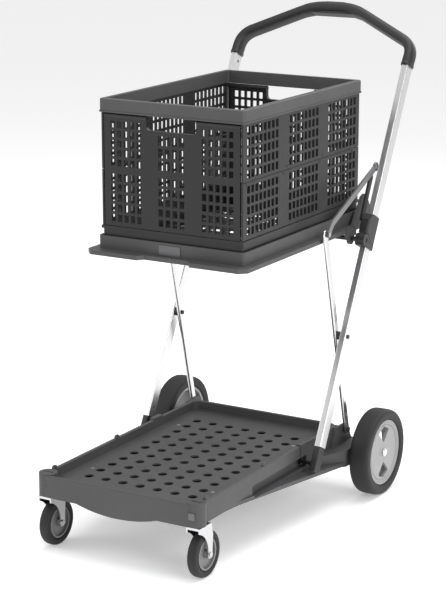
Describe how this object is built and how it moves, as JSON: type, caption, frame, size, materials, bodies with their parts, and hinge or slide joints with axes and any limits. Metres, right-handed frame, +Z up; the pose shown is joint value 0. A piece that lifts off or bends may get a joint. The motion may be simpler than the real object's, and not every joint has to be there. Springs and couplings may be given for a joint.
{
  "type": "folding shopping trolley",
  "caption": "Folding shopping trolley with a mesh crate, perforated lower tray, scissor frame, arched handle, front casters and rear wheels.",
  "frame": {"origin": "middle of the whole object on the floor", "axes": "+Z up, -Y is the front with the casters, +Y is the rear with the handle, +X is the right side"},
  "size_m": [0.547, 0.9378, 1.0374],
  "materials": {
    "tray_grey": "matt moulded grain",
    "dark_plastic": "matt",
    "crate_charcoal": "semi-matt",
    "satin_tube": "satin anodised",
    "link_grey": "satin",
    "bright_metal": "bright",
    "steel": "zinc plated",
    "dark_steel": "blackened",
    "black_grip": "soft-touch",
    "tyre_black": "matt rubber",
    "wheel_grey": "satin moulded",
    "caster_hub_grey": "satin moulded",
    "bush_plastic": "natural",
    "light_plate": "satin, blank"
  },
  "bodies": {
    "base": {"lower_tray": "tray_grey", "underbody": "tray_grey", "corner_post_caps": "tray_grey", "post_plate": "light_plate", "rear_axle": "steel", "tray_screws": "steel"},
    "legs": {"leg_left": "bright_metal", "leg_right": "bright_metal", "leg_pivot_rod": "dark_steel", "leg_top_pins": "steel", "scissor_bolts": "dark_steel", "scissor_spacers": "dark_plastic"},
    "tubes": {"lower_tube_left": "satin_tube", "lower_tube_right": "satin_tube", "tube_end_fitting_left": "dark_plastic", "tube_end_fitting_right": "dark_plastic", "hinge_bracket_left": "dark_plastic", "hinge_bracket_right": "dark_plastic", "guide_pins": "dark_steel", "joint_rod": "dark_steel"},
    "links": {"link_bar_left": "link_grey", "link_bar_right": "link_grey", "link_rivets": "steel"},
    "handle": {"handle_tube_left": "satin_tube", "handle_tube_right": "satin_tube", "handle_block_left": "dark_plastic", "handle_block_right": "dark_plastic", "grip": "black_grip", "grip_plate": "light_plate", "release_struts": "dark_plastic"},
    "trigger": {"grip_trigger": "dark_plastic"},
    "upper_tray": {"upper_tray": "tray_grey", "label_plate": "light_plate"},
    "crate": {"crate_base": "crate_charcoal", "crate_rim": "tray_grey", "crate_hinge_pins": "steel", "crate_side_lower_left": "crate_charcoal", "crate_side_lower_right": "crate_charcoal", "crate_side_upper_left": "crate_charcoal", "crate_side_upper_right": "crate_charcoal"},
    "flap_front": {"crate_end_front": "crate_charcoal"},
    "flap_rear": {"crate_end_rear": "crate_charcoal"},
    "caster_left": {"caster_fork_left": "bright_metal", "caster_stem_left": "steel", "caster_axle_left": "bright_metal"},
    "caster_wheel_left": {"caster_tyre_left": "tyre_black", "caster_hub_left": "caster_hub_grey"},
    "rear_wheel_left": {"wheel_tyre_left": "tyre_black", "wheel_hub_left": "wheel_grey", "wheel_bush_left": "bush_plastic", "hub_cap_left": "bright_metal"},
    "caster_right": {"caster_fork_right": "bright_metal", "caster_stem_right": "steel", "caster_axle_right": "bright_metal"},
    "caster_wheel_right": {"caster_tyre_right": "tyre_black", "caster_hub_right": "caster_hub_grey"},
    "rear_wheel_right": {"wheel_tyre_right": "tyre_black", "wheel_hub_right": "wheel_grey", "wheel_bush_right": "bush_plastic", "hub_cap_right": "bright_metal"}
  },
  "joints": [
    {"name": "frame_fold", "type": "hinge", "parent": "base", "child": "legs", "pos_m": [0, 0.1511, 0.1455], "axis": [1, 0, 0], "range_deg": [0, 33]},
    {"name": "tubes_turn", "type": "hinge", "parent": "legs", "child": "tubes", "pos_m": [0, 0.0977, 0.3696], "axis": [1, 0, 0], "range_deg": [-56.17, 0]},
    {"name": "tray_turn", "type": "hinge", "parent": "tubes", "child": "upper_tray", "pos_m": [0, 0.1724, 0.5655], "axis": [1, 0, 0], "range_deg": [0, 23.17]},
    {"name": "handle_turn", "type": "hinge", "parent": "tubes", "child": "handle", "pos_m": [0, 0.1724, 0.5655], "axis": [1, 0, 0], "range_deg": [0, 93.5]},
    {"name": "link_turn", "type": "hinge", "parent": "legs", "child": "links", "pos_m": [0, 0.0376, 0.6004], "axis": [1, 0, 0], "range_deg": [-31.23, 0]},
    {"name": "trigger_squeeze", "type": "slide", "parent": "handle", "child": "trigger", "axis": [0, 0.5606, 0.8281], "range_m": [0, 0.005], "stiffness_N_per_m": 400, "springref_m": -0.004},
    {"name": "crate_lift", "type": "slide", "parent": "upper_tray", "child": "crate", "axis": [0, 0, 1], "range_m": [0, 0.45]},
    {"name": "flap_front_swing", "type": "hinge", "parent": "crate", "child": "flap_front", "pos_m": [0, -0.2468, 0.8611], "axis": [1, 0, 0], "range_deg": [0, 85]},
    {"name": "flap_rear_swing", "type": "hinge", "parent": "crate", "child": "flap_rear", "pos_m": [0, 0.2438, 0.8611], "axis": [-1, 0, 0], "range_deg": [0, 85]},
    {"name": "caster_swivel_left", "type": "hinge", "parent": "base", "child": "caster_left", "pos_m": [-0.1746, -0.4455, 0.08], "axis": [0, 0, 1], "continuous": true},
    {"name": "caster_roll_left", "type": "hinge", "parent": "caster_left", "child": "caster_wheel_left", "pos_m": [-0.1746, -0.4207, 0.0482], "axis": [1, 0, 0], "continuous": true},
    {"name": "rear_wheel_roll_left", "type": "hinge", "parent": "base", "child": "rear_wheel_left", "pos_m": [-0.25, 0.1884, 0.0944], "axis": [1, 0, 0], "continuous": true},
    {"name": "caster_swivel_right", "type": "hinge", "parent": "base", "child": "caster_right", "pos_m": [0.1746, -0.4455, 0.08], "axis": [0, 0, 1], "continuous": true},
    {"name": "caster_roll_right", "type": "hinge", "parent": "caster_right", "child": "caster_wheel_right", "pos_m": [0.1746, -0.4207, 0.0482], "axis": [1, 0, 0], "continuous": true},
    {"name": "rear_wheel_roll_right", "type": "hinge", "parent": "base", "child": "rear_wheel_right", "pos_m": [0.25, 0.1884, 0.0944], "axis": [1, 0, 0], "continuous": true}
  ],
  "couplings": [
    {"joint": "tubes_turn", "follows": "frame_fold", "ratio": -1.6718},
    {"joint": "tray_turn", "follows": "frame_fold", "ratio": 0.67177},
    {"joint": "handle_turn", "follows": "frame_fold", "ratio": 2.803},
    {"joint": "link_turn", "follows": "frame_fold", "ratio": -0.91618}
  ]
}
